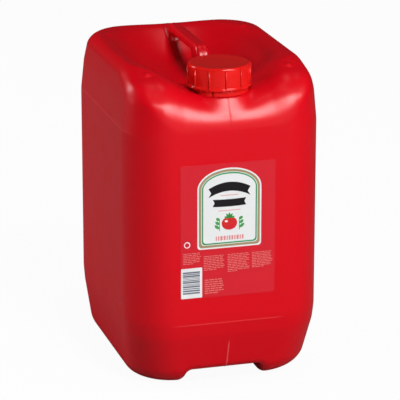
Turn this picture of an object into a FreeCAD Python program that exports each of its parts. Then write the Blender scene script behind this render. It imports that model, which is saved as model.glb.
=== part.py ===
import FreeCAD, Part
import math
import os

# Ten-litre stacking canister for ketchup: a blow-moulded red jerrycan, shut with a screw cap.
# Frame: origin under the middle of the plan on the floor, +X to the right along the label
# face, +Y to the back, +Z up, millimetres. The label face looks along -Y.

# Overall shell
WIDTH = 186.0
DEPTH = 230.0
RIM = 302.3                # height of the corner towers and of the ridges between them
CORNER = 41.0              # radius of the four upright corners
CORNER_TOP_FRONT = 44.0    # and of the front towers at the rim
CORNER_FOOT = 46.0         # and of the base

# Lower taper: a light crease, a short turn, then straight walls down to the rounded foot
CREASE_LOW = 66.6
TURN_LOW = 52.9
TURN_SHARE = 0.12          # part of the taper that is already reached at the end of the turn
FOOT_SIDE = 7.3            # how far the walls come in at the floor
FOOT_FRONT = 18.6
FOOT_BACK = 6.9
FOOT_ROUND = 18.6

# Upper taper: above the upper crease the walls lean in, more so in its upper half
CREASE_TOP = 247.4
LEAN_BREAK = 276.4
LEAN_AT_BREAK = 2.5
LEAN_FRONT_AT_BREAK = 4.0
LEAN_AT_RIM = 6.9
LEAN_FRONT_AT_RIM = 16.0
RIM_ROUND = 10.8

# Channel under the base that clears the cap and the handle of the canister below
CHANNEL_HALF = 35.3
CHANNEL_HIGH = 13.7
CHANNEL_LIP = 8.8          # rounding of the feet towards the channel
CHANNEL_ROOT = 4.2         # rounding inside the channel

# Bowl in the top
BOWL_HALF = 68.6
BOWL_BACK = 91.0
BOWL_FRONT = -68.6
BOWL_POWER = 2.5           # 2 is an oval, more comes closer to a rectangle
BOWL_FLAT = 0.50           # share of the half-width over which the floor is level
FLOOR_BACK = 279.3
FLOOR_FRONT = 265.6

# Saddle: the trough across the front rim in which the neck stands
SADDLE_HEIGHT = 278.8
SADDLE_FLOOR_HALF = 19.6
SADDLE_TOP_HALF = 55.9
SADDLE_ROUND = 29.4        # radius with which the trough rolls over into the front wall
SADDLE_BACK = -44.1
SADDLE_CLOSE = 44.1        # length over which the trough would close behind the neck
ROLL_LIMIT = 72.0          # degrees; past this the roll runs on straight, through the wall
TURN_UP = 0.6              # where a rising slope stops curving and runs on straight
TROUGH_BLEND = 9.8

# Locating nubs on the towers
NUB_X = 67.1
NUB_FRONT = -73.5
NUB_BACK = 65.7
NUB_RADIUS = 4.4
NUB_HIGH = 1.5

# Handle: a bar on the middle plane, from the post behind the neck to the back ridge
HANDLE_WIDE = 13.7
HANDLE_TOP = 307.7
HANDLE_THICK = 9.8
HANDLE_EDGE = 3.9
POST_FRONT = -24.5
POST_BACK = -2.9
POST_SHOULDER = 11.8
GRIP_BACK = 74.0           # back end of the finger gap
GRIP_ROUND = 7.8
ROOT_BACK = 101.9
ROOT_DROP = 7.8            # fall of the bar to the ridge behind it

# Neck, cap and tamper band
NECK_Y = -75.5
NECK_RADIUS = 23.5
NECK_FOOT_RADIUS = 32.3
NECK_FOOT_BOTTOM = 264.6
NECK_FOOT_TOP = 278.3
SEAT_GAP = 1.0             # free space round the tamper band where the trough rises beside it
CAP_RADIUS = 29.6
CAP_BOTTOM = 284.3
CAP_TOP = 305.3
CAP_EDGE = 1.8
CAP_RIBS = 12
RIB_TURN = -4.0            # degrees from +X to the first rib
RIB_RADIUS = 1.0
BAND_RADIUS = 28.0
BAND_BOTTOM = 278.7
BAND_TOP = 283.5
BRIDGES = 8
BRIDGE_WIDE = 2.0
BRIDGE_LAP = 0.5           # how far a bridge runs into the band, and starts clear of the neck

# Label film on the flat of the front wall
LABEL_WIDE = 90.6
LABEL_TALL = 127.9
LABEL_X = -2.9
LABEL_BOTTOM = 92.0
LABEL_THICK = 0.2
LABEL_CORNER = 1.5

# Grid that carries the surface of bowl and saddle
GRID_X = 5.0
GRID_Y = 5.0
GRID_Y_FRONT = 2.5         # closer where the trough rolls over
GRID_MARGIN = 8.0          # how far it runs past the walls
CUT_HIGH = 160.0
OVER = 1.0                 # how far a cutting body runs past what it cuts
SUNK = 4.0                 # how far a foot runs into the body that carries it
HAIR = 0.01                # allowance when edges are picked by their place


def vec(x, y, z):
    return FreeCAD.Vector(x, y, z)


def soft_min(a, b, blend):
    """The smaller of two values, rounded over where they meet."""
    gap = max(0.0, blend - abs(a - b))
    return min(a, b) - gap * gap / (4.0 * blend)


def rising(climb):
    """Slope that starts level, curves up and runs on straight."""
    climb = max(0.0, climb)
    if climb < TURN_UP:
        return climb * climb
    return TURN_UP * TURN_UP + 2.0 * TURN_UP * (climb - TURN_UP)


def rounded_wire(x_half, y_front, y_back, front_radius, back_radius, z):
    """Closed outline of a rounded rectangle in the plane z."""
    centres = [
        (x_half - back_radius, y_back - back_radius, back_radius),
        (back_radius - x_half, y_back - back_radius, back_radius),
        (front_radius - x_half, y_front + front_radius, front_radius),
        (x_half - front_radius, y_front + front_radius, front_radius),
    ]
    arcs = []
    for quarter, (cx, cy, radius) in enumerate(centres):
        turns = [math.radians(90.0 * quarter + turn) for turn in (0.0, 45.0, 90.0)]
        arcs.append([vec(cx + radius * math.cos(t), cy + radius * math.sin(t), z) for t in turns])
    edges = []
    for index, points in enumerate(arcs):
        following = arcs[(index + 1) % len(arcs)]
        edges.append(Part.Arc(*points).toShape())
        edges.append(Part.makeLine(points[-1], following[0]))
    return Part.Wire(edges)


def make_hull():
    """Walls, base and a level lid at the rim, with rounded foot and rim."""
    # height; how far in are the sides, the front and the back; corner radii in front and behind
    turn = TURN_SHARE
    levels = [
        (0.0, FOOT_SIDE, FOOT_FRONT, FOOT_BACK, CORNER_FOOT, CORNER_FOOT),
        (TURN_LOW, FOOT_SIDE * turn, FOOT_FRONT * turn, FOOT_BACK * turn, CORNER, CORNER),
        (CREASE_LOW, 0.0, 0.0, 0.0, CORNER, CORNER),
        (CREASE_TOP, 0.0, 0.0, 0.0, CORNER, CORNER),
        (LEAN_BREAK, LEAN_AT_BREAK, LEAN_FRONT_AT_BREAK, LEAN_AT_BREAK, CORNER, CORNER),
        (RIM, LEAN_AT_RIM, LEAN_FRONT_AT_RIM, LEAN_AT_RIM, CORNER_TOP_FRONT, CORNER),
    ]
    wires = []
    for z, side, front, back, front_radius, back_radius in levels:
        wires.append(rounded_wire(WIDTH / 2 - side, front - DEPTH / 2, DEPTH / 2 - back,
                                  front_radius, back_radius, z))
    hull = Part.makeLoft(wires, True, True)
    foot = [edge for edge in hull.Edges if edge.BoundBox.ZMax < HAIR]
    hull = hull.makeFillet(FOOT_ROUND, foot)
    rim = [edge for edge in hull.Edges if edge.BoundBox.ZMin > RIM - HAIR]
    return hull.makeFillet(RIM_ROUND, rim)


def bowl_height(x, y):
    """Level floor that turns up into the bowl's sloping wall and runs on past the rim."""
    middle = (BOWL_BACK + BOWL_FRONT) / 2
    half = (BOWL_BACK - BOWL_FRONT) / 2
    spread = (abs(x) / BOWL_HALF) ** BOWL_POWER + (abs(y - middle) / half) ** BOWL_POWER
    spread = spread ** (1.0 / BOWL_POWER)
    share = min(1.0, max(0.0, (y - BOWL_FRONT) / (BOWL_BACK - BOWL_FRONT)))
    floor = FLOOR_FRONT + (FLOOR_BACK - FLOOR_FRONT) * share
    return floor + (RIM - floor) * rising((spread - BOWL_FLAT) / (1.0 - BOWL_FLAT))


def saddle_height(x, y):
    """Trough across the front rim; it rolls over forwards and closes behind the neck."""
    side = (abs(x) - SADDLE_FLOOR_HALF) / (SADDLE_TOP_HALF - SADDLE_FLOOR_HALF)
    behind = (y - SADDLE_BACK) / SADDLE_CLOSE
    climb = (RIM - SADDLE_HEIGHT) * (rising(side) + rising(behind))
    reach = max(0.0, SADDLE_ROUND - (y + DEPTH / 2))
    steepest = math.radians(ROLL_LIMIT)
    bend = min(reach, SADDLE_ROUND * math.sin(steepest))
    roll = SADDLE_ROUND - math.sqrt(SADDLE_ROUND ** 2 - bend ** 2) + (reach - bend) * math.tan(steepest)
    return SADDLE_HEIGHT + climb - roll


def spaced(start, end, step):
    """Values from start to end, evenly spaced by about step."""
    count = int(math.ceil((end - start) / step))
    return [start + (end - start) * index / count for index in range(count + 1)]


def make_hollow():
    """The space above bowl and saddle, to be taken out of the hull."""
    x_end = WIDTH / 2 + GRID_MARGIN
    y_end = DEPTH / 2 + GRID_MARGIN
    roll_end = SADDLE_ROUND - DEPTH / 2
    y_values = spaced(-y_end, roll_end, GRID_Y_FRONT)[:-1] + spaced(roll_end, y_end, GRID_Y)
    rows = []
    for x in spaced(-x_end, x_end, GRID_X):
        heights = [soft_min(bowl_height(x, y), saddle_height(x, y), TROUGH_BLEND) for y in y_values]
        rows.append([vec(x, y, z) for y, z in zip(y_values, heights)])
    surface = Part.BSplineSurface()
    surface.interpolate(rows)
    return surface.toShape().extrude(vec(0, 0, CUT_HIGH))


def make_channel():
    """Channel along the base between the feet, as the space to take out."""
    half = CHANNEL_HALF
    lip = CHANNEL_LIP
    root = CHANNEL_ROOT
    high = CHANNEL_HIGH
    slant = math.sqrt(0.5)
    y = -DEPTH / 2 - OVER
    edges = []
    for side in (-1, 1):
        outer = vec(side * (half + lip), y, 0)
        lip_middle = vec(side * (half + lip - lip * slant), y, lip - lip * slant)
        lip_end = vec(side * half, y, lip)
        wall_end = vec(side * half, y, high - root)
        root_middle = vec(side * (half - root + root * slant), y, high - root + root * slant)
        roof = vec(side * (half - root), y, high)
        edges.append(Part.Arc(outer, lip_middle, lip_end).toShape())
        edges.append(Part.makeLine(lip_end, wall_end))
        edges.append(Part.Arc(wall_end, root_middle, roof).toShape())
        edges.append(Part.makeLine(outer, vec(outer.x, y, -OVER)))
    edges.append(Part.makeLine(vec(root - half, y, high), vec(half - root, y, high)))
    edges.append(Part.makeLine(vec(-half - lip, y, -OVER), vec(half + lip, y, -OVER)))
    wire = Part.Wire(Part.__sortEdges__(edges))
    return Part.Face(wire).extrude(vec(0, DEPTH + 2 * OVER, 0))


def make_handle():
    """Bar, front post and back root in one, rounded along both sides."""
    low = FLOOR_FRONT - SUNK
    side = -HANDLE_WIDE / 2
    block = Part.makeBox(HANDLE_WIDE, ROOT_BACK - POST_FRONT, HANDLE_TOP - low, vec(side, POST_FRONT, low))
    front = [e for e in block.Edges if e.BoundBox.YMax < POST_FRONT + HAIR
             and e.BoundBox.ZMin > HANDLE_TOP - HAIR]
    block = block.makeFillet(POST_SHOULDER, front)
    grip_low = low - OVER
    grip_high = HANDLE_TOP - HANDLE_THICK
    grip = Part.makeBox(HANDLE_WIDE + 2 * OVER, GRIP_BACK - POST_BACK, grip_high - grip_low,
                        vec(side - OVER, POST_BACK, grip_low))
    ends = [e for e in grip.Edges if e.BoundBox.ZMin > grip_high - HAIR
            and e.BoundBox.XLength > HANDLE_WIDE]
    grip = grip.makeFillet(GRIP_ROUND, ends)
    # the bar falls to the ridge behind the finger gap
    fall_end = ROOT_BACK + OVER
    fall = Part.makePolygon([
        vec(side - OVER, GRIP_BACK, HANDLE_TOP),
        vec(side - OVER, fall_end, HANDLE_TOP - ROOT_DROP),
        vec(side - OVER, fall_end, HANDLE_TOP + OVER),
        vec(side - OVER, GRIP_BACK, HANDLE_TOP + OVER),
        vec(side - OVER, GRIP_BACK, HANDLE_TOP),
    ])
    wedge = Part.Face(fall).extrude(vec(HANDLE_WIDE + 2 * OVER, 0, 0))
    handle = block.cut(grip).cut(wedge)
    rims = [e for e in handle.Edges if e.BoundBox.XLength < HAIR and e.BoundBox.ZMax > low + HAIR]
    return handle.makeFillet(HANDLE_EDGE, rims)


def make_neck():
    """Neck stub up to the cap, with the flared foot it stands on."""
    tube = Part.makeCylinder(NECK_RADIUS, CAP_BOTTOM - NECK_FOOT_BOTTOM,
                             vec(0, NECK_Y, NECK_FOOT_BOTTOM))
    foot = Part.makeCone(NECK_FOOT_RADIUS, BAND_RADIUS, NECK_FOOT_TOP - NECK_FOOT_BOTTOM,
                         vec(0, NECK_Y, NECK_FOOT_BOTTOM))
    return tube.fuse(foot)


def make_nub(x, y):
    """Small rounded bump: the cap of a ball, let into the top of a tower."""
    ball = (NUB_RADIUS ** 2 + NUB_HIGH ** 2) / (2 * NUB_HIGH)
    sphere = Part.makeSphere(ball, vec(x, y, RIM + NUB_HIGH - ball))
    slab = Part.makeBox(2 * ball, 2 * ball, 2 * ball, vec(x - ball, y - ball, RIM - OVER))
    return sphere.common(slab)


def make_canister():
    """Shell, handle and neck: one moulding."""
    shell = make_hull().cut(make_hollow()).cut(make_channel())
    seat = Part.makeCylinder(BAND_RADIUS + SEAT_GAP, RIM - NECK_FOOT_TOP, vec(0, NECK_Y, NECK_FOOT_TOP))
    shell = shell.cut(seat)
    extras = [make_handle(), make_neck()]
    for x in (-NUB_X, NUB_X):
        for y in (NUB_FRONT, NUB_BACK):
            extras.append(make_nub(x, y))
    return shell.fuse(extras).Solids[0]


def make_cap():
    """Screw cap with a bevelled top and upright grip ribs, resting on the neck."""
    cap = Part.makeCylinder(CAP_RADIUS, CAP_TOP - CAP_BOTTOM, vec(0, NECK_Y, CAP_BOTTOM))
    top = [e for e in cap.Edges if e.BoundBox.ZMin > CAP_TOP - HAIR]
    cap = cap.makeFillet(CAP_EDGE, top)
    ribs = []
    for index in range(CAP_RIBS):
        turn = math.radians(360.0 * index / CAP_RIBS + RIB_TURN)
        x = (CAP_RADIUS - RIB_RADIUS / 2) * math.cos(turn)
        y = NECK_Y + (CAP_RADIUS - RIB_RADIUS / 2) * math.sin(turn)
        ribs.append(Part.makeCylinder(RIB_RADIUS, CAP_TOP - CAP_EDGE - CAP_BOTTOM,
                                      vec(x, y, CAP_BOTTOM)))
    return cap.fuse(ribs).Solids[0]


def make_band():
    """Tamper band round the neck, hanging from the cap by small bridges."""
    ring = Part.makeCylinder(BAND_RADIUS, BAND_TOP - BAND_BOTTOM, vec(0, NECK_Y, BAND_BOTTOM))
    bridges = []
    inner = NECK_RADIUS + BRIDGE_LAP
    length = BAND_RADIUS - BRIDGE_LAP - inner
    for index in range(BRIDGES):
        block = Part.makeBox(length, BRIDGE_WIDE, CAP_BOTTOM - BAND_TOP + BRIDGE_LAP,
                             vec(inner, -BRIDGE_WIDE / 2, BAND_TOP - BRIDGE_LAP))
        block.rotate(vec(0, 0, 0), vec(0, 0, 1), 360.0 * index / BRIDGES)
        block.translate(vec(0, NECK_Y, 0))
        bridges.append(block)
    core = Part.makeCylinder(NECK_RADIUS, CAP_TOP - BAND_BOTTOM, vec(0, NECK_Y, BAND_BOTTOM - OVER))
    return ring.fuse(bridges).cut(core).Solids[0]


def make_label():
    """Film on the flat of the front wall."""
    film = Part.makeBox(LABEL_WIDE, LABEL_THICK, LABEL_TALL,
                        vec(LABEL_X - LABEL_WIDE / 2, -DEPTH / 2 - LABEL_THICK, LABEL_BOTTOM))
    corners = [e for e in film.Edges if e.BoundBox.XLength < HAIR and e.BoundBox.ZLength < HAIR]
    return film.makeFillet(LABEL_CORNER, corners).Solids[0]


def main():
    os.makedirs("parts", exist_ok=True)
    pieces = {
        "canister": make_canister(),
        "cap": make_cap(),
        "tamper_band": make_band(),
        "label": make_label(),
    }
    for name, solid in pieces.items():
        solid.exportStep("parts/" + name + ".step")
        print(name, solid.ShapeType, solid.isValid(), round(solid.Volume / 1e6, 4), "litres")


main()
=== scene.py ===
# %% [markdown]
# # A ten-litre ketchup canister
#
# The object is a red, blow-moulded stacking canister with a screw cap and a printed film on its
# front. The measured model is loaded first and never moved: it says where everything goes. Each
# later cell makes one piece or one finish in the same frame: the origin is under the middle of
# the plan, +X to the right along the label face, +Y to the back, +Z up.

# %% Load the measured model
import math

import bpy
import numpy as np
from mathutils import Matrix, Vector


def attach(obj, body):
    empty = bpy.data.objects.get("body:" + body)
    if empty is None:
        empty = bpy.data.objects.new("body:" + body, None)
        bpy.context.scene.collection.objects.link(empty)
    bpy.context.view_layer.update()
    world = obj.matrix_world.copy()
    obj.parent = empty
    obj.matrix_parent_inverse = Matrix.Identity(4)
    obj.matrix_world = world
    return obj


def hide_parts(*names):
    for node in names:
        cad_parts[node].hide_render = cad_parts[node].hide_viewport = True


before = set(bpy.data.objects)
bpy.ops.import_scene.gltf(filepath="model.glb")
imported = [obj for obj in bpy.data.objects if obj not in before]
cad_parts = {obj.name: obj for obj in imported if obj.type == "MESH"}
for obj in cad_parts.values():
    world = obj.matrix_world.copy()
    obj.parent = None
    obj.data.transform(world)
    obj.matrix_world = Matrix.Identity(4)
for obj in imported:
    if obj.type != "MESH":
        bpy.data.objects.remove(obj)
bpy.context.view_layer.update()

MM = 0.001


def plain_object(name, vertices, faces, smooth=True):
    """An object at the origin from vertices in millimetres and a list of faces."""
    mesh = bpy.data.meshes.new(name)
    mesh.from_pydata([tuple(v) for v in np.asarray(vertices, dtype=float) * MM], [], faces)
    mesh.validate()
    mesh.update()
    if smooth:
        mesh.polygons.foreach_set("use_smooth", [True] * len(mesh.polygons))
    piece = bpy.data.objects.new(name, mesh)
    bpy.context.scene.collection.objects.link(piece)
    return piece


# %% [markdown]
# ## The blow-moulded shell
#
# A blown shell has no sharp edge: hot plastic bridges every corner of the mould. Bevels on a
# solid can't round walls, dished top, neck and grip bar into each other, so the shell is written
# as a rule instead: a function that is negative inside the plastic and positive outside. Two
# shapes are joined or cut with a rounded minimum or maximum, whose last value is the radius of
# the fillet between them. All lengths in these cells are millimetres.

# %% Rounded joins
def round_max(a, b, radius):
    """Where both a and b are inside, with the outer edge between them rounded."""
    inner = np.minimum(np.maximum(a, b), -radius)
    return inner + np.hypot(np.maximum(a + radius, 0.0), np.maximum(b + radius, 0.0))


def round_min(a, b, radius):
    """Where either a or b is inside, with a fillet in the corner between them."""
    return -round_max(-a, -b, radius)


def soft_min(a, b, blend):
    """The smaller of two heights, rounded over where they meet."""
    gap = np.maximum(0.0, blend - np.abs(a - b))
    return np.minimum(a, b) - gap * gap / (4.0 * blend)


def smooth_step(start, end, value):
    """0 at start, 1 at end, with a soft ramp between; start may be the larger."""
    t = np.clip((value - start) / (end - start), 0.0, 1.0)
    return t * t * (3.0 - 2.0 * t)


print("two equal heights of 10 mm, blended over 4 mm:", float(soft_min(10.0, 10.0, 4.0)), "mm")


# %% [markdown]
# The walls are a rounded rectangle in plan. Its sides move in at the foot, below a light crease,
# and again above the upper crease, so the inset is a table by height. Three samples a little
# apart soften each crease as the mould's own radius does.

# %% Walls
HALF_WIDTH = 93.0
HALF_DEPTH = 114.8
RIM = 302.3
CREASE = 1.6
WALL_HEIGHTS = [0.0, 52.9, 66.6, 247.4, 276.4, 302.3]
SIDE_INSET = [7.3, 0.9, 0.0, 0.0, 2.5, 6.9]
FRONT_INSET = [18.6, 2.2, 0.0, 0.0, 0.0, 2.0]
BACK_INSET = [6.9, 0.8, 0.0, 0.0, 2.5, 6.9]
FRONT_RADIUS = [46.0, 41.0, 41.0, 41.0, 42.0, 48.0]
BACK_RADIUS = [46.0, 41.0, 41.0, 41.0, 41.0, 41.0]


def by_height(z, values):
    """A value from the wall table, softened across the creases."""
    spread = [np.interp(z + step, WALL_HEIGHTS, values) for step in (-CREASE, 0.0, CREASE)]
    return sum(spread) / len(spread)


def wall_distance(x, y, z):
    """Distance outside the upright walls, which are a rounded rectangle at every height."""
    half = HALF_WIDTH - by_height(z, SIDE_INSET)
    front = by_height(z, FRONT_INSET) - HALF_DEPTH
    back = HALF_DEPTH - by_height(z, BACK_INSET)
    middle = (front + back) / 2
    radius = np.where(y < 0, by_height(z, FRONT_RADIUS), by_height(z, BACK_RADIUS))
    across = np.abs(x) - half + radius
    along = np.abs(y - middle) - (back - front) / 2 + radius
    corner = np.hypot(np.maximum(across, 0.0), np.maximum(along, 0.0))
    return corner + np.minimum(np.maximum(across, along), 0.0) - radius


print("wall insets by height:", list(zip(WALL_HEIGHTS, SIDE_INSET)))


# %% [markdown]
# The top is a height for every place in plan: the rim, the bowl for the hand, and the trough in
# the front rim where the neck stands. The lowest of the three wins, softly. Four small nubs on
# the corner towers locate the canister that is stacked on top.

# %% Dished top
BOWL_HALF = 68.6
BOWL_BACK = 91.0
BOWL_FRONT = -68.6
BOWL_POWER = 2.5
BOWL_FLAT = 0.42
FLOOR_BACK = 280.5
FLOOR_FRONT = 264.6
TROUGH_HEIGHT = 278.8
TROUGH_FLOOR_HALF = 16.0
TROUGH_TOP_HALF = 60.0
TROUGH_BACK = -44.1
TROUGH_CLOSE = 44.1
TURN_UP = 0.6
TROUGH_BLEND = 9.8
LIP_FRONT = 9.0         # blend from the bowl to the rim, wider over the front towers
LIP_BACK = 5.0
LIP_CHANGE = (30.0, 75.0)
NUB_PLACES = [(side * 67.1, y) for side in (-1, 1) for y in (-73.5, 65.7)]
NUB_RADIUS = 4.6
NUB_HIGH = 1.5


def rising(climb):
    """A slope that starts level, curves up and runs on straight."""
    climb = np.maximum(0.0, climb)
    return np.where(climb < TURN_UP, climb * climb, TURN_UP * (2.0 * climb - TURN_UP))


def top_height(x, y):
    """Height of the top at a place in plan."""
    middle = (BOWL_BACK + BOWL_FRONT) / 2
    half = (BOWL_BACK - BOWL_FRONT) / 2
    spread = (np.abs(x) / BOWL_HALF) ** BOWL_POWER + (np.abs(y - middle) / half) ** BOWL_POWER
    spread = spread ** (1.0 / BOWL_POWER)
    share = np.clip((y - BOWL_FRONT) / (BOWL_BACK - BOWL_FRONT), 0.0, 1.0)
    floor = FLOOR_FRONT + (FLOOR_BACK - FLOOR_FRONT) * share
    bowl = floor + (RIM - floor) * rising((spread - BOWL_FLAT) / (1.0 - BOWL_FLAT))
    side = (np.abs(x) - TROUGH_FLOOR_HALF) / (TROUGH_TOP_HALF - TROUGH_FLOOR_HALF)
    behind = (y - TROUGH_BACK) / TROUGH_CLOSE
    trough = TROUGH_HEIGHT + (RIM - TROUGH_HEIGHT) * (rising(side) + rising(behind))
    lip = LIP_FRONT + (LIP_BACK - LIP_FRONT) * smooth_step(*LIP_CHANGE, y)
    height = soft_min(soft_min(bowl, trough, TROUGH_BLEND), RIM, lip)
    for nub_x, nub_y in NUB_PLACES:
        away = np.hypot(x - nub_x, y - nub_y) / NUB_RADIUS
        height = height + NUB_HIGH * np.clip(1.0 - away * away, 0.0, 1.0) ** 1.5
    return height


def top_distance(x, y, z, step=0.5):
    """Distance above the top; the height's own slope, taken over step, shortens it."""
    height = top_height(x, y)
    slope_x = (top_height(x + step, y) - top_height(x - step, y)) / (2 * step)
    slope_y = (top_height(x, y + step) - top_height(x, y - step)) / (2 * step)
    return (z - height) / np.sqrt(1.0 + slope_x ** 2 + slope_y ** 2)


print("bowl floor behind the neck:", round(float(top_height(0.0, 0.0)), 1), "mm")


# %% [markdown]
# Walls and top meet in the outer rim. Its radius is small along the sides and the back, and large
# in front, where the towers and the trough roll over into the front wall: that roll is what
# catches the long smile of light on the front.

# %% Rim, foot and the channel under the base
RIM_SIDE = 10.8
RIM_BACK = 12.0
RIM_TOWER = 37.0
RIM_CORNER = 20.0
RIM_TROUGH = 29.4
FOOT_ROUND = 18.6
CHANNEL_HALF = 35.3
CHANNEL_HIGH = 13.7
CHANNEL_LIP = 8.8
CHANNEL_ROOT = 4.2
FRONT_CHANGE = (-45.0, -80.0)       # the stretches over which one radius turns into the next
BACK_CHANGE = (60.0, 100.0)
TROUGH_CHANGE = (60.0, 24.0)
CORNER_CHANGE = (64.0, 88.0)


def rim_radius(x, y):
    """Radius of the outer rim at a place in plan."""
    front = smooth_step(*FRONT_CHANGE, y)
    trough = smooth_step(*TROUGH_CHANGE, np.abs(x))
    corner = smooth_step(*CORNER_CHANGE, np.abs(x))
    back = smooth_step(*BACK_CHANGE, y)
    at_front = RIM_TOWER + (RIM_TROUGH - RIM_TOWER) * trough + (RIM_CORNER - RIM_TOWER) * corner
    return RIM_SIDE + (at_front - RIM_SIDE) * front + (RIM_BACK - RIM_SIDE) * back


def channel_distance(x, z):
    """Outside is positive: a square tunnel with rounded inner corners."""
    across = np.abs(x) - CHANNEL_HALF + CHANNEL_ROOT
    above = z - CHANNEL_HIGH + CHANNEL_ROOT
    corner = np.hypot(np.maximum(across, 0.0), np.maximum(above, 0.0))
    return corner + np.minimum(np.maximum(across, above), 0.0) - CHANNEL_ROOT


print("rim radius over the trough:", float(rim_radius(0.0, -HALF_DEPTH)), "mm")


# %% [markdown]
# The grip bar is drawn in side view, a block with a rounded hole, and given its width with
# rounded long edges. It falls and narrows a little towards the back ridge.

# %% Grip bar
BAR_HALF = 5.9
BAR_TOP = 307.3
BAR_THICK = 9.0
BAR_EDGE = 2.8
BAR_TAPER = 0.9         # how much the half-width loses over the taper's run
TAPER_RUN = (30.0, 95.0)
POST_FRONT = -24.5
POST_BACK = -2.9
POST_SHOULDER = 11.8
POST_LEAN = 0.12        # how far the post leans back for each millimetre of height
GRIP_BACK = 77.0
GRIP_ROUND = 7.8
HOLE_EDGE = 1.5
ROOT_BACK = 101.9
ROOT_DROP = 8.4
ROOT_RUN = (72.0, 104.0)


def bar_distance(x, y, z):
    """The grip bar with its post: a side view with a hole, cut to the bar's width."""
    fall = ROOT_DROP * smooth_step(*ROOT_RUN, y)
    post_face = POST_FRONT - POST_LEAN * (BAR_TOP - z) - y
    outline = round_max(z - BAR_TOP + fall, post_face, POST_SHOULDER)
    outline = np.maximum(outline, y - ROOT_BACK)
    hole_y = np.abs(y - (POST_BACK + GRIP_BACK) / 2) - (GRIP_BACK - POST_BACK) / 2 + GRIP_ROUND
    hole_z = z - (BAR_TOP - BAR_THICK) + GRIP_ROUND
    hole = np.hypot(np.maximum(hole_y, 0.0), np.maximum(hole_z, 0.0))
    hole = hole + np.minimum(np.maximum(hole_y, hole_z), 0.0) - GRIP_ROUND
    outline = round_max(outline, -hole, HOLE_EDGE)
    half = BAR_HALF - BAR_TAPER * smooth_step(*TAPER_RUN, y)
    return round_max(outline, np.abs(x) - half, BAR_EDGE)


print("finger gap:", GRIP_BACK - POST_BACK, "mm long")

# %% [markdown]
# The neck stands on a flared foot. Bar and foot melt into the shell with fillets; the bar's is
# wide at the post and narrow at the back. Last come two fine lines of the mould: the parting
# line round the middle, clearest at the foot and on the rolled front edge, and the front crease.

# %% Neck, fillets and parting line
NECK_Y = -75.5
NECK_RADIUS = 23.5
NECK_FOOT_WIDE = 32.3
NECK_FOOT_NARROW = 28.0
NECK_FOOT_LOW = 264.6
NECK_FOOT_HIGH = 278.3
NECK_FOOT_EDGE = 0.6
NECK_FOOT_FILLET = 5.0
CAP_BOTTOM = 284.3
SEAT_GAP = 1.0          # free space round the tamper band where the trough rises beside it
BURIED = 250.0          # height down to which the bar and the neck run inside the shell
BAR_FILLET_FRONT = 7.0
BAR_FILLET_BACK = 2.5
FILLET_RUN = (40.0, 80.0)
PARTING_X = 0.3
PARTING_HIGH = 0.28
PARTING_WIDE = 0.55
PARTING_FAINT = 0.15    # share of its height that the line keeps between foot and top
PARTING_FOOT = (60.0, 45.0)
PARTING_ROLL = (248.0, 266.0)
CREASE_HIGH = 0.12
CREASE_WIDE = 1.1
CREASE_ENDS = (60.0, 40.0)
CREASE_FRONT = (-90.0, -110.0)


def neck_distance(x, y, z):
    """The flared foot of the neck, and the plain tube that stands on it."""
    reach = np.hypot(x, y - NECK_Y)
    share = np.clip((z - NECK_FOOT_LOW) / (NECK_FOOT_HIGH - NECK_FOOT_LOW), 0.0, 1.0)
    flare = reach - NECK_FOOT_WIDE + (NECK_FOOT_WIDE - NECK_FOOT_NARROW) * share
    foot = round_max(flare, z - NECK_FOOT_HIGH, NECK_FOOT_EDGE)
    tube = np.maximum(reach - NECK_RADIUS, z - CAP_BOTTOM)
    return foot, tube


def fine_lines(x, y, z):
    """How far the parting line and the front crease stand proud."""
    clear = np.maximum(smooth_step(*PARTING_FOOT, z), smooth_step(*PARTING_ROLL, z))
    share = PARTING_FAINT + (1.0 - PARTING_FAINT) * clear
    parting = PARTING_HIGH * share * np.exp(-((x - PARTING_X) / PARTING_WIDE) ** 2)
    crease = CREASE_HIGH * np.exp(-((z - WALL_HEIGHTS[2]) / CREASE_WIDE) ** 2)
    return parting + crease * smooth_step(*CREASE_ENDS, np.abs(x)) * smooth_step(*CREASE_FRONT, y)


def shell_distance(x, y, z):
    """The whole moulding: negative inside, positive outside."""
    shell = round_max(wall_distance(x, y, z), top_distance(x, y, z), rim_radius(x, y))
    shell = round_max(shell, -z, FOOT_ROUND)
    shell = round_max(shell, -channel_distance(x, z), CHANNEL_LIP)
    seat = np.maximum(np.hypot(x, y - NECK_Y) - NECK_FOOT_NARROW - SEAT_GAP, NECK_FOOT_HIGH - z)
    shell = round_max(shell, -seat, SEAT_GAP)
    foot, tube = neck_distance(x, y, z)
    shell = round_min(shell, np.maximum(foot, BURIED - z), NECK_FOOT_FILLET)
    shell = np.minimum(shell, np.maximum(tube, BURIED - z))
    fillet = BAR_FILLET_FRONT + (BAR_FILLET_BACK - BAR_FILLET_FRONT) * smooth_step(*FILLET_RUN, y)
    shell = round_min(shell, np.maximum(bar_distance(x, y, z), BURIED - z), fillet)
    return shell - fine_lines(x, y, z)


# %% [markdown]
# A surface net turns the rule into a mesh: every grid cell that the surface crosses gets one
# corner, and every crossed grid edge gets one face. The grid is fine over the top and close to
# the parting line, and coarse on the plain walls. Each corner is then slid onto the true surface
# along the rule's own slope, which leaves a mesh as smooth as the rule itself.

# %% Surface net
def graded(stops):
    """Grid lines from (start, end, step) runs."""
    lines = []
    for start, end, step in stops:
        count = max(1, int(round((end - start) / step)))
        lines.extend(start + (end - start) * index / count for index in range(count))
    lines.append(stops[-1][1])
    return np.array(lines)


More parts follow.
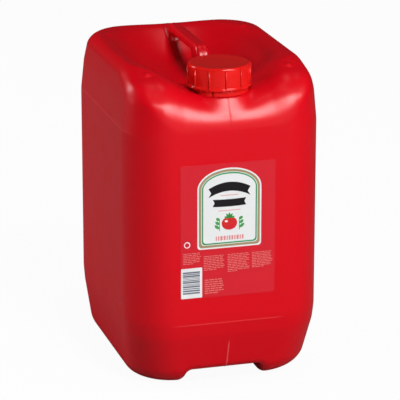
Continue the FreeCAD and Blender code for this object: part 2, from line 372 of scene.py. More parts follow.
def surface_net(rule, xs, ys, zs):
    """Corners and four-sided faces of the surface where the rule is 0."""
    values = rule(xs[:, None, None], ys[None, :, None], zs[None, None, :])
    inside = values < 0
    offsets = [(i, j, k) for i in (0, 1) for j in (0, 1) for k in (0, 1)]
    shape = tuple(n - 1 for n in inside.shape)
    count = np.zeros(shape, dtype=np.int8)
    for i, j, k in offsets:
        count += inside[i:i + shape[0], j:j + shape[1], k:k + shape[2]]
    cells = np.argwhere((count > 0) & (count < 8))
    number = np.full(shape, -1, dtype=np.int64)
    number[tuple(cells.T)] = np.arange(len(cells))
    total = np.zeros((len(cells), 3))
    weight = np.zeros(len(cells))
    for start in offsets:
        for axis in range(3):
            if start[axis]:
                continue
            end = list(start)
            end[axis] = 1
            a = cells + start
            b = cells + end
            fa = values[tuple(a.T)]
            fb = values[tuple(b.T)]
            crossed = (fa < 0) != (fb < 0)
            share = np.where(crossed, fa / np.where(crossed, fa - fb, 1.0), 0.0)[:, None]
            at_a = np.stack([xs[a[:, 0]], ys[a[:, 1]], zs[a[:, 2]]], axis=1)
            at_b = np.stack([xs[b[:, 0]], ys[b[:, 1]], zs[b[:, 2]]], axis=1)
            total += crossed[:, None] * (at_a + (at_b - at_a) * share)
            weight += crossed
    points = total / weight[:, None]
    faces = []
    for axis in range(3):
        one, two = (axis + 1) % 3, (axis + 2) % 3
        lower = [slice(1, -1)] * 3
        upper = [slice(1, -1)] * 3
        lower[axis] = slice(0, -1)
        upper[axis] = slice(1, None)
        low = inside[tuple(lower)]
        high = inside[tuple(upper)]
        for sign in (True, False):
            edges = np.argwhere((low != high) & (low == sign))
            for other in (one, two):
                edges[:, other] += 1
            around = []
            for back_one, back_two in ((1, 1), (0, 1), (0, 0), (1, 0)):
                cell = edges.copy()
                cell[:, one] -= back_one
                cell[:, two] -= back_two
                around.append(number[tuple(cell.T)])
            quads = np.stack(around, axis=1)
            faces.append(quads if sign else quads[:, ::-1])
    return points, np.concatenate(faces)


# %% Corners slid onto the surface
def settle(points, rule, rounds=4, limit=1.2, step=0.02):
    """Slides points along the rule's slope, at most limit a round, until they lie on its surface."""
    for _ in range(rounds):
        value = rule(*points.T)
        slope = np.stack([(rule(*(points + shift).T) - rule(*(points - shift).T)) / (2 * step)
                          for shift in np.eye(3) * step], axis=1)
        move = slope * (value / np.maximum((slope ** 2).sum(axis=1), 0.2))[:, None]
        length = np.linalg.norm(move, axis=1, keepdims=True)
        points = points - move * np.minimum(1.0, limit / np.maximum(length, 1e-9))
    return points


# %% The shell's mesh
SIDE_LINES = [(4.0, 12.0, 1.0), (12.0, 45.0, 1.65), (45.0, 97.0, 2.0)]
MIDDLE_LINES = [(-4.0, -1.2, 0.7), (-1.2, 1.8, 0.375), (1.8, 4.0, 0.73)]
NET_X = graded([(-e, -s, step) for s, e, step in reversed(SIDE_LINES)] + MIDDLE_LINES + SIDE_LINES)
NET_Y = graded([(-119.0, -78.0, 1.5), (-78.0, -20.0, 1.8), (-20.0, 119.0, 2.2)])
NET_Z = graded([(-3.0, 30.0, 2.2), (30.0, 45.0, 3.0), (45.0, 75.0, 2.0), (75.0, 240.0, 5.5),
                (240.0, 258.0, 2.0), (258.0, 311.0, 1.35)])

net_points, net_faces = surface_net(shell_distance, NET_X, NET_Y, NET_Z)
net_points = settle(net_points, shell_distance)
canister = plain_object("canister_shell", net_points, net_faces.tolist())
triangles = sum(len(p.vertices) - 2 for p in canister.data.polygons)
print("shell:", len(net_points), "corners,", triangles, "triangles")
print("shell box:", net_points.min(axis=0).round(2), net_points.max(axis=0).round(2))
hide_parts("canister")
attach(canister, "root")

# %% [markdown]
# ## The cap
#
# The screw cap is turned: a profile swept round the neck's axis, with a rounded edge, a faintly
# dished top and a thin flange at the bottom of the skirt. The profile is closed at the axis, so
# the cap is one shut body. Its upright grip ribs repeat at equal turns, which is a job for
# Geometry Nodes.

# %% Turned pieces
def turned(name, profile, centre_y, steps=144):
    """Sweeps a list of (radius, height) round an upright axis; radius 0 closes a pole."""
    vertices = []
    rings = []
    for radius, height in profile:
        if radius == 0:
            rings.append([len(vertices)])
            vertices.append((0.0, centre_y, height))
            continue
        ring = []
        for index in range(steps):
            turn = 2 * math.pi * index / steps
            ring.append(len(vertices))
            vertices.append((radius * math.cos(turn), centre_y + radius * math.sin(turn), height))
        rings.append(ring)
    faces = []
    for low, high in zip(rings, rings[1:]):
        for index in range(steps):
            after = (index + 1) % steps
            if len(low) == 1:
                faces.append((low[0], high[after], high[index]))
            elif len(high) == 1:
                faces.append((low[index], low[after], high[0]))
            else:
                faces.append((low[index], low[after], high[after], high[index]))
    if rings[0] == rings[-1]:
        faces = faces[:-steps]
    return plain_object(name, vertices, faces)


def arc(centre_r, centre_z, radius, start, end, steps):
    """Points of an arc in the profile plane, angles in degrees."""
    points = []
    for index in range(steps + 1):
        turn = math.radians(start + (end - start) * index / steps)
        points.append((centre_r + radius * math.cos(turn), centre_z + radius * math.sin(turn)))
    return points


CAP_RADIUS = 29.6
CAP_TOP = 305.2
CAP_EDGE = 2.0
CAP_DISH = 0.5          # how far the top is sunk within its edge
FLANGE_ROUND = 0.6
FLANGE_RADIUS = CAP_RADIUS - 0.1
SKIRT_LOW = CAP_BOTTOM + 2.4
cap_profile = [(0.0, CAP_BOTTOM), (20.0, CAP_BOTTOM)]
cap_profile += arc(FLANGE_RADIUS, CAP_BOTTOM + FLANGE_ROUND, FLANGE_ROUND, -90, 0, 4)
cap_profile += arc(FLANGE_RADIUS, CAP_BOTTOM + 2 * FLANGE_ROUND, FLANGE_ROUND, 10, 80, 4)
cap_profile += [(CAP_RADIUS - 0.45, SKIRT_LOW - 0.1)]
cap_profile += [(CAP_RADIUS - 0.4 - 0.03 * level, SKIRT_LOW + level) for level in range(2, 17, 3)]
cap_profile += arc(CAP_RADIUS - 0.9 - CAP_EDGE, CAP_TOP - CAP_EDGE, CAP_EDGE, 8, 84, 8)
cap_profile += [(CAP_RADIUS - 5.5, CAP_TOP - 0.05), (CAP_RADIUS - 8.0, CAP_TOP - 0.35)]
cap_profile += [(radius, CAP_TOP - CAP_DISH) for radius in (14.0, 6.0, 0.0)]
cap = turned("cap_body", cap_profile, NECK_Y)
print("cap:", len(cap.data.vertices), "corners")

# %% [markdown]
# A grip rib is a slim rounded bar. The tree below makes one, sets copies of it on a circle of
# points, turns each outwards, and makes them real. Size, number and first angle are inputs, so
# the same tree could dress any turned cap.

# %% Ribs by Geometry Nodes
def new_tree(name, inputs):
    """A geometry tree with a geometry input and output, and named inputs of the kinds given."""
    tree = bpy.data.node_groups.new(name, "GeometryNodeTree")
    tree.interface.new_socket("Geometry", in_out="INPUT", socket_type="NodeSocketGeometry")
    for label, kind, value in inputs:
        socket = tree.interface.new_socket(label, in_out="INPUT", socket_type=kind)
        if value is not None:
            socket.default_value = value
    tree.interface.new_socket("Geometry", in_out="OUTPUT", socket_type="NodeSocketGeometry")
    start = tree.nodes.new("NodeGroupInput")
    end = tree.nodes.new("NodeGroupOutput")
    return tree, start, end


def node(tree, kind, links=(), **settings):
    """A node with its settings; each link gives an input an output socket or a plain value."""
    made = tree.nodes.new(kind)
    for key, value in settings.items():
        setattr(made, key, value)
    for where, source in links:
        if hasattr(source, "is_output"):
            tree.links.new(source, made.inputs[where])
        else:
            made.inputs[where].default_value = source
    return made


def run_tree(holder, tree, values):
    """Runs a tree on holder with the inputs' values and returns the finished mesh object."""
    modifier = holder.modifiers.new(tree.name, "NODES")
    modifier.node_group = tree
    for item in tree.interface.items_tree:
        if item.in_out == "INPUT" and item.name in values:
            modifier[item.identifier] = values[item.name]
    graph = bpy.context.evaluated_depsgraph_get()
    graph.update()
    mesh = bpy.data.meshes.new_from_object(holder.evaluated_get(graph))
    name = holder.name
    old = holder.data
    bpy.data.objects.remove(holder)
    if old.users == 0:
        bpy.data.meshes.remove(old)
    mesh.name = name
    piece = bpy.data.objects.new(name, mesh)
    bpy.context.scene.collection.objects.link(piece)
    return piece


# %% Bars on a ring
def ring_tree():
    """Bars on a circle round an upright axis."""
    number = "NodeSocketFloat"
    tree, start, end = new_tree("bars_on_a_ring", [
        ("Count", "NodeSocketInt", 12), ("Ring Radius", number, 0.03), ("First Turn", number, 0.0),
        ("Bar Deep", number, 0.001), ("Bar Wide", number, 0.001), ("Bar Tall", number, 0.02),
        ("Centre", "NodeSocketVector", None), ("Material", "NodeSocketMaterial", None)])
    circle = node(tree, "GeometryNodeMeshCircle", [("Vertices", start.outputs["Count"]),
                                                   ("Radius", start.outputs["Ring Radius"])])
    bar = node(tree, "GeometryNodeMeshCylinder", [("Vertices", 12), ("Side Segments", 1)])
    size = node(tree, "ShaderNodeCombineXYZ", [("X", start.outputs["Bar Deep"]),
                                               ("Y", start.outputs["Bar Wide"]),
                                               ("Z", start.outputs["Bar Tall"])])
    bar.inputs["Radius"].default_value = 0.5
    bar.inputs["Depth"].default_value = 1.0
    scaled = node(tree, "GeometryNodeTransform", [("Geometry", bar.outputs["Mesh"]),
                                                  ("Scale", size.outputs[0])])
    place = node(tree, "GeometryNodeInputPosition")
    split = node(tree, "ShaderNodeSeparateXYZ", [(0, place.outputs[0])])
    angle = node(tree, "ShaderNodeMath", [(0, split.outputs["Y"]), (1, split.outputs["X"])],
                 operation="ARCTAN2")
    turn = node(tree, "ShaderNodeCombineXYZ", [("Z", angle.outputs[0])])
    copies = node(tree, "GeometryNodeInstanceOnPoints", [("Points", circle.outputs["Mesh"]),
                                                         ("Instance", scaled.outputs[0]),
                                                         ("Rotation", turn.outputs[0])])
    first = node(tree, "ShaderNodeCombineXYZ", [("Z", start.outputs["First Turn"])])
    placed = node(tree, "GeometryNodeTransform", [("Geometry", copies.outputs[0]),
                                                  ("Rotation", first.outputs[0]),
                                                  ("Translation", start.outputs["Centre"])])
    real = node(tree, "GeometryNodeRealizeInstances", [(0, placed.outputs[0])])
    shade = node(tree, "GeometryNodeSetShadeSmooth", [("Geometry", real.outputs[0])])
    finish = node(tree, "GeometryNodeSetMaterial", [("Geometry", shade.outputs[0]),
                                                    ("Material", start.outputs["Material"])])
    tree.links.new(finish.outputs[0], end.inputs[0])
    return tree


RING_TREE = ring_tree()
print("tree:", RING_TREE.name, "with", len(RING_TREE.nodes), "nodes")


def ring_of_bars(name, material, **values):
    """Millimetres and degrees in, one mesh of bars out."""
    inputs = {"Count": values["count"], "Material": material,
              "Ring Radius": values["radius"] * MM,
              "First Turn": math.radians(values["first"]),
              "Bar Deep": values["deep"] * MM, "Bar Wide": values["wide"] * MM,
              "Bar Tall": values["tall"] * MM,
              "Centre": (0.0, NECK_Y * MM, values["middle"] * MM)}
    holder = plain_object(name, [(0, 0, 0), (1, 0, 0), (0, 1, 0)], [(0, 1, 2)])
    piece = run_tree(holder, RING_TREE, inputs)
    print(name + ":", values["count"], "bars,", len(piece.data.polygons), "faces")
    return piece


# %% [markdown]
# ## Finishes
#
# Blown polyethylene is glossy with a faint orange-peel skin and slow waves from cooling, so a
# shared group makes both, with a mask of faint rubbing that dulls the gloss in places and a slow
# cloud for the colour. It is worked out from Object coordinates, which belong to the piece. Each
# material keeps its own shader and its own values.

# %% Skin group
def skin_group():
    """The shared skin: a relief height, a mask of rubbed places and a cloud for the colour."""
    group = bpy.data.node_groups.new("moulded_skin", "ShaderNodeTree")
    for label, value in (("Wave Size", 9.0), ("Peel Size", 900.0), ("Wave Share", 0.7), ("Seed", 0.0)):
        socket = group.interface.new_socket(label, in_out="INPUT", socket_type="NodeSocketFloat")
        socket.default_value = value
    for label in ("Height", "Rub", "Cloud"):
        group.interface.new_socket(label, in_out="OUTPUT", socket_type="NodeSocketFloat")
    start = group.nodes.new("NodeGroupInput")
    end = group.nodes.new("NodeGroupOutput")
    where = group.nodes.new("ShaderNodeTexCoord")
    wave = node(group, "ShaderNodeTexNoise", [("Vector", where.outputs["Object"]),
                                              ("W", start.outputs["Seed"]),
                                              ("Scale", start.outputs["Wave Size"]), ("Detail", 1.0)],
                noise_dimensions="4D")
    peel = node(group, "ShaderNodeTexNoise", [("Vector", where.outputs["Object"]),
                                              ("Scale", start.outputs["Peel Size"]), ("Detail", 2.0)])
    mixed = node(group, "ShaderNodeMix", [(0, start.outputs["Wave Share"]), (2, peel.outputs[0]),
                                          (3, wave.outputs[0])])
    rub = node(group, "ShaderNodeTexNoise", [("Vector", where.outputs["Object"]), ("Scale", 34.0),
                                             ("Detail", 6.0), ("Roughness", 0.7)])
    rub_mask = node(group, "ShaderNodeMapRange", [("Value", rub.outputs[0]), ("From Min", 0.48),
                                                  ("From Max", 0.72)])
    cloud = node(group, "ShaderNodeTexNoise", [("Vector", where.outputs["Object"]), ("Scale", 5.5),
                                               ("Detail", 2.0)])
    group.links.new(mixed.outputs[0], end.inputs["Height"])
    group.links.new(rub_mask.outputs[0], end.inputs["Rub"])
    group.links.new(cloud.outputs[0], end.inputs["Cloud"])
    return group


SKIN = skin_group()


def plastic(name, colour, deep_colour, rough, rub_rough, bump, wave_share=0.7):
    """A moulded plastic: colour clouded a little towards deep_colour, gloss rubbed a little."""
    material = bpy.data.materials.new(name)
    material.use_nodes = True
    tree = material.node_tree
    shader = tree.nodes["Principled BSDF"]
    skin = node(tree, "ShaderNodeGroup", node_tree=SKIN)
    skin.inputs["Wave Share"].default_value = wave_share
    mix = node(tree, "ShaderNodeMix", [(0, skin.outputs["Cloud"])], data_type="RGBA")
    mix.inputs[6].default_value = (*colour, 1)
    mix.inputs[7].default_value = (*deep_colour, 1)
    tree.links.new(mix.outputs[2], shader.inputs["Base Color"])
    dull = node(tree, "ShaderNodeMapRange", [("Value", skin.outputs["Rub"]), ("To Min", rough),
                                             ("To Max", rub_rough)])
    tree.links.new(dull.outputs[0], shader.inputs["Roughness"])
    relief = node(tree, "ShaderNodeBump", [("Height", skin.outputs["Height"]), ("Distance", bump * MM),
                                           ("Strength", 1.0)])
    tree.links.new(relief.outputs[0], shader.inputs["Normal"])
    shader.inputs["IOR"].default_value = 1.5
    return material


SHELL_RED = plastic("blown_red", (0.69, 0.001, 0.009), (0.63, 0.001, 0.007), 0.29, 0.34, 0.10)
CAP_RED = plastic("cap_red", (0.76, 0.011, 0.009), (0.72, 0.009, 0.008), 0.08, 0.12, 0.008,
                  wave_share=0.2)
print("plastics:", SHELL_RED.name, CAP_RED.name)

# %% [markdown]
# Painted highlights: the red is painted a little paler along the seam at the foot and along the
# front and left creases, where their fine ridges catch the light. Each line is a mask on the
# coordinate across it, faded out past the line's ends, and mixed over the plastic's own colour.

# %% Painted highlights on seam and creases
def paint_highlight_line(material, axis, place, half, limits, colour):
    """Paints a highlight: a paler line where a coordinate lies close to place, inside the given limits.
    """
    tree = material.node_tree
    shader = tree.nodes["Principled BSDF"]
    where = node(tree, "ShaderNodeTexCoord")
    parts = node(tree, "ShaderNodeSeparateXYZ", [(0, where.outputs["Object"])])
    away = node(tree, "ShaderNodeMath", [(0, parts.outputs[axis]), (1, place * MM)], operation="SUBTRACT")
    away = node(tree, "ShaderNodeMath", [(0, away.outputs[0])], operation="ABSOLUTE")
    mask = node(tree, "ShaderNodeMapRange", [("Value", away.outputs[0]), ("From Min", half * MM),
                                             ("From Max", 0.3 * half * MM)])
    for limit_axis, start, end in limits:
        inside = node(tree, "ShaderNodeMapRange", [("Value", parts.outputs[limit_axis]),
                                                   ("From Min", start * MM), ("From Max", end * MM)])
        mask = node(tree, "ShaderNodeMath", [(0, mask.outputs[0]), (1, inside.outputs[0])],
                    operation="MULTIPLY")
    old = shader.inputs["Base Color"].links[0].from_socket
    mix = node(tree, "ShaderNodeMix", [(0, mask.outputs[0]), (6, old)], data_type="RGBA")
    mix.inputs[7].default_value = (*colour, 1)
    tree.links.new(mix.outputs[2], shader.inputs["Base Color"])


# Painted highlights: paler reds that stand in for light caught on the seam and the creases.
SEAM_HIGHLIGHT_RED = (0.80, 0.09, 0.10)
CREASE_HIGHLIGHT_RED = (0.74, 0.03, 0.035)
FRONT_FOOT = [("Z", 46.0, 42.0), ("Y", -60.0, -80.0)]
FRONT_WALL = [("Y", -105.0, -112.0), ("X", 52.0, 44.0), ("X", -56.0, -48.0)]
LEFT_WALL = [("X", -85.0, -91.0)]
# Painted highlight lines on the shell: the seam at the foot, the front crease and the left crease.
paint_highlight_line(SHELL_RED, "X", PARTING_X, 0.75, FRONT_FOOT, SEAM_HIGHLIGHT_RED)
paint_highlight_line(SHELL_RED, "Z", WALL_HEIGHTS[2] - 0.6, 0.9, FRONT_WALL, CREASE_HIGHLIGHT_RED)
paint_highlight_line(SHELL_RED, "Z", WALL_HEIGHTS[3] + 1.0, 0.9, LEFT_WALL, CREASE_HIGHLIGHT_RED)
canister.data.materials.append(SHELL_RED)
cap.data.materials.append(CAP_RED)
print("pale lines: the seam at the foot, the front crease and the left crease")

# %% [markdown]
# The ribs stand out a little from the skirt. Below the cap sits the tamper band: a short pull tab
# and one long strip, with a gap between them where the finger starts the tear. Fine bridges join
# it to the cap, and the neck's collar shows behind the gap.

# %% Cap ribs
RIB_TURN = -4.0
cap_ribs = ring_of_bars("cap_ribs", CAP_RED, count=12, radius=29.45, first=RIB_TURN, deep=1.6,
                        wide=1.1, tall=17.6, middle=294.0)


# %% Tamper band
def hoop(profile, start, end, steps):
    """A part of a hoop round the neck: the profile swept from start to end degrees, its ends shut."""
    vertices = []
    for index in range(steps + 1):
        turn = math.radians(start + (end - start) * index / steps)
        vertices += [(r * math.cos(turn), NECK_Y + r * math.sin(turn), z) for r, z in profile]
    width = len(profile)
    faces = []
    for index in range(steps):
        for side in range(width):
            after = (side + 1) % width
            low, high = index * width, (index + 1) * width
            faces.append((low + side, high + side, high + after, low + after))
    faces.append(tuple(range(width)))
    faces.append(tuple(reversed(range(steps * width, (steps + 1) * width))))
    return vertices, faces


BAND_RADIUS = 27.4
BAND_INSIDE = BAND_RADIUS - 3.0
BAND_LOW = 278.7
BAND_HIGH = 283.3
BAND_ROUND = 0.6
PULL_TAB = (211.0, 239.5)       # degrees from +X; the finger starts the strip here
LONG_STRIP = (241.8, 532.4)     # the rest of the way round, up to the gap before the tab
band_profile = [(BAND_INSIDE, BAND_LOW), (BAND_RADIUS - 0.5, BAND_LOW)]
band_profile += arc(BAND_RADIUS - BAND_ROUND, BAND_LOW + BAND_ROUND, BAND_ROUND, -80, 0, 3)
band_profile += arc(BAND_RADIUS - BAND_ROUND, BAND_HIGH - BAND_ROUND, BAND_ROUND, 0, 90, 3)
band_profile += [(BAND_INSIDE, BAND_HIGH)]
band_vertices, band_faces = [], []
for begin, end in (PULL_TAB, LONG_STRIP):
    steps = math.ceil((end - begin) / 3.0)
    more_vertices, more_faces = hoop(band_profile, begin, end, steps)
    band_faces += [tuple(v + len(band_vertices) for v in face) for face in more_faces]
    band_vertices += more_vertices
band = plain_object("tamper_band_hoop", band_vertices, band_faces)
band.data.materials.append(CAP_RED)
bridges = ring_of_bars("tamper_bridges", CAP_RED, count=24, radius=26.8, first=RIB_TURN + 9.0, deep=1.6,
                       wide=1.5, tall=1.8, middle=283.7)
collar_profile = [(23.6, 278.8), (25.4, 278.8), (25.4, 284.0), (23.6, 284.0)]
neck_collar = plain_object("neck_collar", *hoop(collar_profile, 0.0, 359.9, 96))
neck_collar.data.materials.append(CAP_RED)
print("tamper band:", len(band.data.polygons), "faces in a pull tab and a long strip")

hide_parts("cap")
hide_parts("tamper_band")
for piece, slot in ((cap, "cap"), (cap_ribs, "cap"), (band, "tamper_band"), (bridges, "tamper_band"),
                    (neck_collar, "tamper_band")):
    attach(piece, "root")

# %% [markdown]
# ## The label
#
# A thin printed film lies on the flat of the front. It is a real sheet with rounded corners, its
# back just inside the wall, and each field of print is a thinner layer on it, so the print stays
# sharp at any size. The design is a plain one: an arched panel with gold and green borders, two
# blank dark banners, a tomato between leaf sprigs, rows of bars for small print and a block of bars.

# %% Flat outlines on the front
LABEL_FRONT = -115.1
LABEL_BACK = -114.7
INK_STEP = 0.012


def round_box(left, low, right, high, radius, steps=6):
    """Corner points of a rounded rectangle, anticlockwise seen from the front."""
    points = []
    for cx, cz, start in ((right - radius, high - radius, 0), (left + radius, high - radius, 90),
                          (left + radius, low + radius, 180), (right - radius, low + radius, 270)):
        points += arc(cx, cz, radius, start, start + 90, steps)
    return points


def sheet_layer(outlines, front, back):
    """Vertices and faces of flat plates with these outlines, from y front to y back."""
    vertices, faces = [], []
    for outline in outlines:
        base = len(vertices)
        count = len(outline)
        vertices += [(x, front, z) for x, z in outline]
        vertices += [(x, back, z) for x, z in outline]
        faces.append(tuple(base + i for i in range(count)))
        faces.append(tuple(base + count + i for i in reversed(range(count))))
        for i in range(count):
            after = (i + 1) % count
            faces.append((base + after, base + i, base + count + i, base + count + after))
    return vertices, faces


def print_layer(name, outlines, level, material):
    """One colour of print, level ink steps proud of the film."""
    front = LABEL_FRONT - INK_STEP * level
    vertices, faces = sheet_layer(outlines, front, LABEL_FRONT + 0.01)
    piece = plain_object(name, vertices, faces, smooth=False)
    piece.data.materials.append(material)
    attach(piece, "root")
    return piece


# %% [markdown]
# Film and inks are the same plastic with a finer relief, each with its own colour and gloss. The
# film's red is a little softer than the shell's.

# %% Print inks and the film
def ink(name, colour, rough):
    """A printed colour with the slight unevenness of ink."""
    lighter = tuple(min(1.0, c * 1.06 + 0.002) for c in colour)
    return plastic(name, colour, lighter, rough, rough + 0.05, 0.012, wave_share=0.5)


FILM_RED = ink("film_red", (0.62, 0.014, 0.026), 0.30)
WHITE_INK = ink("white_ink", (0.76, 0.77, 0.77), 0.35)
GOLD_INK = ink("gold_ink", (0.36, 0.25, 0.13), 0.35)
GREEN_INK = ink("green_ink", (0.02, 0.30, 0.10), 0.35)
DARK_INK = ink("dark_ink", (0.006, 0.004, 0.006), 0.40)
TOMATO_INK = ink("tomato_ink", (0.62, 0.02, 0.02), 0.30)
TEXT_INK = ink("text_ink", (0.72, 0.26, 0.26), 0.35)
LEAF_INK = ink("leaf_ink", (0.05, 0.33, 0.08), 0.35)
BAR_INK = ink("bar_ink", (0.13, 0.14, 0.19), 0.35)
PRINT_INK = ink("print_ink", (0.70, 0.18, 0.17), 0.35)

LABEL_LEFT, LABEL_LOW, LABEL_RIGHT, LABEL_HIGH = -48.1, 92.1, 42.3, 219.8
film_outline = round_box(LABEL_LEFT, LABEL_LOW, LABEL_RIGHT, LABEL_HIGH, 1.5)
film = plain_object("label_film", *sheet_layer([film_outline], LABEL_FRONT, LABEL_BACK), smooth=False)
film.data.materials.append(FILM_RED)
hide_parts("label")
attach(film, "root")
print("film:", round(LABEL_RIGHT - LABEL_LEFT, 1), "by", round(LABEL_HIGH - LABEL_LOW, 1), "mm")

# %% [markdown]
# The panel is five arches, one inside the next, each a layer of its own colour: white edge, gold
# border, white line, green line and the white field that carries the picture.

# %% The arched panel
PANEL_MIDDLE = -1.5
PANEL_CORNER = 3.0


def arched(half, low, shoulder, crown, steps=28):
    """A panel outline: straight sides, rounded feet and an elliptical top."""
    points = []
    for index in range(steps + 1):
        turn = math.pi * index / steps
        points.append((PANEL_MIDDLE + half * math.cos(turn), shoulder + crown * math.sin(turn)))
    inner = half - PANEL_CORNER
    points += arc(PANEL_MIDDLE - inner, low + PANEL_CORNER, PANEL_CORNER, 180, 270, 5)
    points += arc(PANEL_MIDDLE + inner, low + PANEL_CORNER, PANEL_CORNER, 270, 360, 5)
    return points


PANEL_HALF, PANEL_LOW, PANEL_SHOULDER, PANEL_CROWN = 30.5, 139.0, 196.0, 19.5
BORDERS = [("panel_edge", WHITE_INK, 0.0), ("panel_gold", GOLD_INK, 1.4), ("panel_line", WHITE_INK, 3.6),
           ("panel_green", GREEN_INK, 4.2), ("panel_field", WHITE_INK, 5.5)]
for level, (name, material, inset) in enumerate(BORDERS, start=1):
    outline = arched(PANEL_HALF - inset, PANEL_LOW + inset, PANEL_SHOULDER, PANEL_CROWN - inset)
    print_layer(name, [outline], level, material)
TOP_LEVEL = len(BORDERS) + 1
print("panel:", len(BORDERS), "layers")

# %% [markdown]
# On the field stand two blank banners, thin rules, a tomato between two leaf sprigs and a row of
# plain blocks. Each outline is a short function, so a leaf or a banner is drawn once and placed
# as often as needed.

# %% Picture on the panel
def ellipse(cx, cz, rx, rz, steps=28):
    """Corner points of an ellipse."""
    points = []
    for index in range(steps):
        turn = 2 * math.pi * index / steps
        points.append((cx + rx * math.cos(turn), cz + rz * math.sin(turn)))
    return points


def leaf(cx, cz, angle, length, width):
    """A pointed leaf from its root at (cx, cz)."""
    turn = math.radians(angle)
    along = (math.cos(turn), math.sin(turn))
    across = (-along[1], along[0])
    points = []
    for side in (1, -1):
        for index in range(9):
            share = index / 8 if side > 0 else 1 - index / 8
            swell = side * width / 2 * math.sin(math.pi * share) ** 0.8
            points.append((cx + along[0] * length * share - across[0] * swell,
                           cz + along[1] * length * share - across[1] * swell))
    return points


def banner(middle, low, high, half, sag, notch, steps=16):
    """A blank banner: its ends hang by sag, and each has a notched tail."""
    top, bottom = [], []
    for index in range(steps + 1):
        share = 2.0 * index / steps - 1.0
        drop = sag * share * share
        top.append((middle + half * share, high - drop))
        bottom.append((middle + half * share, low - drop))
    centre = (low + high) / 2 - sag
    return bottom + [(middle + half - notch, centre)] + top[::-1] + [(middle - half + notch, centre)]


print_layer("banners", [banner(PANEL_MIDDLE, 193.5, 202.0, 20.0, 5.5, 2.6),
                        banner(PANEL_MIDDLE, 178.5, 185.5, 16.0, -0.6, 1.8)], TOP_LEVEL, DARK_INK)
print_layer("banner_rules", [round_box(-10.0, 189.2, 7.0, 189.8, 0.2),
                             round_box(-12.0, 174.6, 9.0, 175.2, 0.2)], TOP_LEVEL, TEXT_INK)
FRUIT_HEIGHT = 162.5
print_layer("tomato", [ellipse(PANEL_MIDDLE, FRUIT_HEIGHT, 7.4, 6.4)], TOP_LEVEL, TOMATO_INK)
print_layer("tomato_shade", [ellipse(PANEL_MIDDLE + 1.6, FRUIT_HEIGHT - 3.4, 4.4, 2.2)],
            TOP_LEVEL + 1, FILM_RED)
print_layer("tomato_gleam", [ellipse(PANEL_MIDDLE - 3.0, FRUIT_HEIGHT + 2.0, 1.6, 1.0, 14)],
            TOP_LEVEL + 1, WHITE_INK)
crown = [leaf(PANEL_MIDDLE, FRUIT_HEIGHT + 5.2, angle, 5.2, 2.0) for angle in (12, 52, 90, 128, 168)]
sprigs = []
for side in (-1, 1):
    root = PANEL_MIDDLE + side * 9.5
    lean = 90 - side * 50
    sprigs += [leaf(root, FRUIT_HEIGHT - 5.0 + 4.0 * step, lean, 6.2 - step, 3.0) for step in range(3)]
    sprigs.append(round_box(root - 0.35, FRUIT_HEIGHT - 7.0, root + 0.35, FRUIT_HEIGHT + 5.0, 0.3))
print_layer("leaves", crown + sprigs, TOP_LEVEL + 2, LEAF_INK)
weight_draw = np.random.default_rng(3)
weight_marks = []
mark = -14.5
while mark < 10.5:
    wide = weight_draw.uniform(1.0, 2.6)
    weight_marks.append(round_box(mark, 146.4, mark + wide, 150.6, 0.3, steps=2))
    mark += wide + 0.9
print_layer("panel_note", weight_marks, TOP_LEVEL, TEXT_INK)
print("picture:", len(sprigs), "parts in the sprigs,", len(weight_marks), "blocks in the note")

# %% [markdown]
# The small print holds no words: it is rows of short bars of uneven length, drawn by a random
# generator with a fixed seed. The block of bars is as free: its heights and gaps are drawn at
# random and mean nothing.

# %% Small print and the block of bars
def text_rows(left, low, right, high, rows, seed):
    """Thin bars of uneven length in place of lines of small print."""
    draw = np.random.default_rng(seed)
    pitch = (high - low) / rows
    bars = []
    for row in range(rows):
        base = high - (row + 1) * pitch
        start = left
        end = right - (right - left) * draw.uniform(0.0, 0.12)
        if row == rows - 1:
            end = left + (right - left) * draw.uniform(0.4, 0.7)
        while start < end - 0.8:
            width = min(draw.uniform(1.6, 5.2), end - start)
            bars.append(round_box(start, base, start + width, base + pitch * 0.42, 0.1, steps=1))
            start += width + 0.7
    return bars


TEXT_BLOCKS = [(-45.5, 126.0, -28.5, 137.4, 7), (-26.0, 118.6, -5.8, 133.4, 9),
               (-3.0, 115.4, 18.4, 133.4, 11), (20.4, 117.6, 40.4, 133.2, 10),
               (-25.0, 96.0, -5.6, 110.8, 7)]
small_print = []
for seed, (left, low, right, high, rows) in enumerate(TEXT_BLOCKS):
    small_print += text_rows(left, low, right, high, rows, seed)
print_layer("small_print", small_print, 1, PRINT_INK)
print("small print:", len(small_print), "bars")

print_layer("bar_block", [round_box(-47.6, 92.8, -27.4, 122.0, 0.8)], 1, WHITE_INK)
bar_draw = np.random.default_rng(7)
bar_rows = []
bar_height = 97.0
while bar_height < 118.5:
    thick = bar_draw.choice([0.5, 0.9, 1.5])
    bar_rows.append(round_box(-45.8, bar_height, -29.6, bar_height + thick, 0.1, steps=1))
    bar_height += thick + bar_draw.choice([0.5, 0.8])
print_layer("block_bars", bar_rows, 2, BAR_INK)
print_layer("ring_mark", [ellipse(-41.8, 144.6, 3.0, 3.0)], 1, WHITE_INK)
print_layer("ring_mark_inner", [ellipse(-41.8, 144.6, 2.1, 2.1)], 2, FILM_RED)
print("block of bars:", len(bar_rows), "bars")

# %% [markdown]
# ## Studio
#
# The object stands on a pale floor in a plain studio. The floor and the background are white to
# the camera only, so they add no light: to the rays that light the object, the floor is a grey
# paper and the room is nearly dark. A small share of plain paper in the white lets the object's
# shadow show.

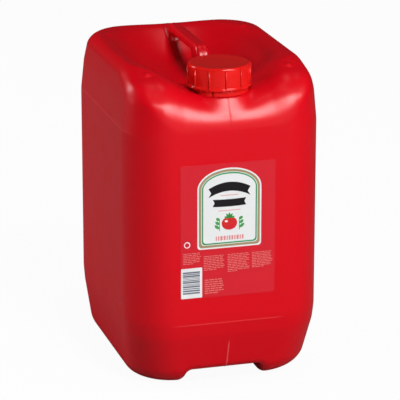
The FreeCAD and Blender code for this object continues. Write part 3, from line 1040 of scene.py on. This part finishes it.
# %% Floor and world
world = bpy.data.worlds.new("studio")
bpy.context.scene.world = world
world.use_nodes = True
sky = world.node_tree
sky.nodes.clear()
out = node(sky, "ShaderNodeOutputWorld")
seen = node(sky, "ShaderNodeLightPath")
room = node(sky, "ShaderNodeBackground", [("Color", (1.0, 0.97, 0.97, 1)), ("Strength", 0.025)])
white = node(sky, "ShaderNodeBackground", [("Color", (1, 1, 1, 1)), ("Strength", 1.0)])
either = node(sky, "ShaderNodeMath", [(0, seen.outputs["Is Camera Ray"]),
                                      (1, seen.outputs["Is Transmission Ray"])], operation="MAXIMUM")
chosen = node(sky, "ShaderNodeMixShader", [(0, either.outputs[0]), (1, room.outputs[0]),
                                           (2, white.outputs[0])])
sky.links.new(chosen.outputs[0], out.inputs["Surface"])

REACH = 6000
floor_corners = [(-REACH, -REACH, 0), (REACH, -REACH, 0), (REACH, REACH, 0), (-REACH, REACH, 0)]
floor = plain_object("studio_floor", floor_corners, [(0, 1, 2, 3)], smooth=False)
paper = bpy.data.materials.new("floor_paper")
paper.use_nodes = True
tree = paper.node_tree
tree.nodes["Principled BSDF"].inputs["Base Color"].default_value = (0.17, 0.17, 0.17, 1)
tree.nodes["Principled BSDF"].inputs["Roughness"].default_value = 0.9
tree.nodes["Principled BSDF"].inputs["Specular IOR Level"].default_value = 0.0
paper_out = tree.nodes["Material Output"]
glow = node(tree, "ShaderNodeEmission", [("Strength", 1.0)])
pale = node(tree, "ShaderNodeBsdfDiffuse", [("Color", (0.9, 0.9, 0.9, 1))])
rays = node(tree, "ShaderNodeLightPath")
backdrop = node(tree, "ShaderNodeMixShader", [(0, 0.95), (1, pale.outputs[0]), (2, glow.outputs[0])])
blend = node(tree, "ShaderNodeMixShader", [(0, rays.outputs["Is Camera Ray"]),
                                           (1, tree.nodes["Principled BSDF"].outputs[0]),
                                           (2, backdrop.outputs[0])])
tree.links.new(blend.outputs[0], paper_out.inputs["Surface"])
floor.data.materials.append(paper)


print("floor:", paper.name, "and world:", world.name)

# %% [markdown]
# The key lamp is a broad softbox in front, seen only in the gloss: it draws the long highlight
# along the rolled front edge. The fills do the opposite and only light the colour, so that each
# side gets its own level: bright on the front and right, darker on the left, weak behind. Two
# small softboxes do both and give the left side and the rear towers their gleams.

# %% Lamps
STUDIO_MIDDLE = Vector((0.0, 0.0, 0.15))


def way_to(azimuth, elevation):
    """Direction from the object at an azimuth (0 is in front, 90 at the right) and elevation."""
    a, e = math.radians(azimuth), math.radians(elevation)
    return Vector((math.sin(a) * math.cos(e), -math.cos(a) * math.cos(e), math.sin(e)))


def softbox(name, azimuth, elevation, distance, wide, tall, power):
    """An area lamp of power watts that faces the middle of the object."""
    data = bpy.data.lights.new(name, "AREA")
    data.shape = "RECTANGLE"
    data.size = wide
    data.size_y = tall
    data.energy = power
    lamp = bpy.data.objects.new(name, data)
    way = way_to(azimuth, elevation)
    lamp.location = STUDIO_MIDDLE + way * distance
    lamp.rotation_euler = way.to_track_quat("Z", "Y").to_euler()
    bpy.context.scene.collection.objects.link(lamp)
    return lamp


key = softbox("key_softbox", 21, 37.5, 2.6, 1.75, 1.1, 66)
key.visible_diffuse = False
softbox("left_softbox", -128, 22, 2.6, 0.3, 1.1, 10)
softbox("rear_softbox", 130, 72, 2.4, 0.4, 0.4, 1)
FILLS = [("low_fill", 28, 0, 45, 1.6), ("front_fill", -8, 3, 8, 1.4), ("side_fill", -118, 6, 36, 1.4),
         ("high_fill", 8, 47, 34, 0.5), ("top_fill", 0, 80, 13, 0.5), ("back_fill", 150, 2, 10, 1.4)]
for name, azimuth, elevation, power, wide in FILLS:
    fill = softbox(name, azimuth, elevation, 2.6, wide, 0.45, power)
    fill.visible_glossy = False

# %% [markdown]
# ## Camera
#
# The camera stands a little to the left of the front and looks down on the top from above.

# %% Camera
CAMERA_AZIMUTH = -16.11
CAMERA_ELEVATION = 17.42
CAMERA_DISTANCE = 2.3886
AIM = Vector((-0.00098, 0.0, 0.14974))
camera_data = bpy.data.cameras.new("camera")
camera_data.sensor_width = 36.0
camera_data.lens = 223.9
camera_data.shift_x = 0.0123
camera_data.shift_y = 0.0003
camera = bpy.data.objects.new("camera", camera_data)
bpy.context.scene.collection.objects.link(camera)
look = way_to(CAMERA_AZIMUTH, CAMERA_ELEVATION)
camera.location = AIM + look * CAMERA_DISTANCE
camera.rotation_euler = look.to_track_quat("Z", "Y").to_euler()
bpy.context.scene.camera = camera
bpy.context.scene.view_settings.view_transform = "Standard"
print("camera:", [round(v, 3) for v in camera.location])
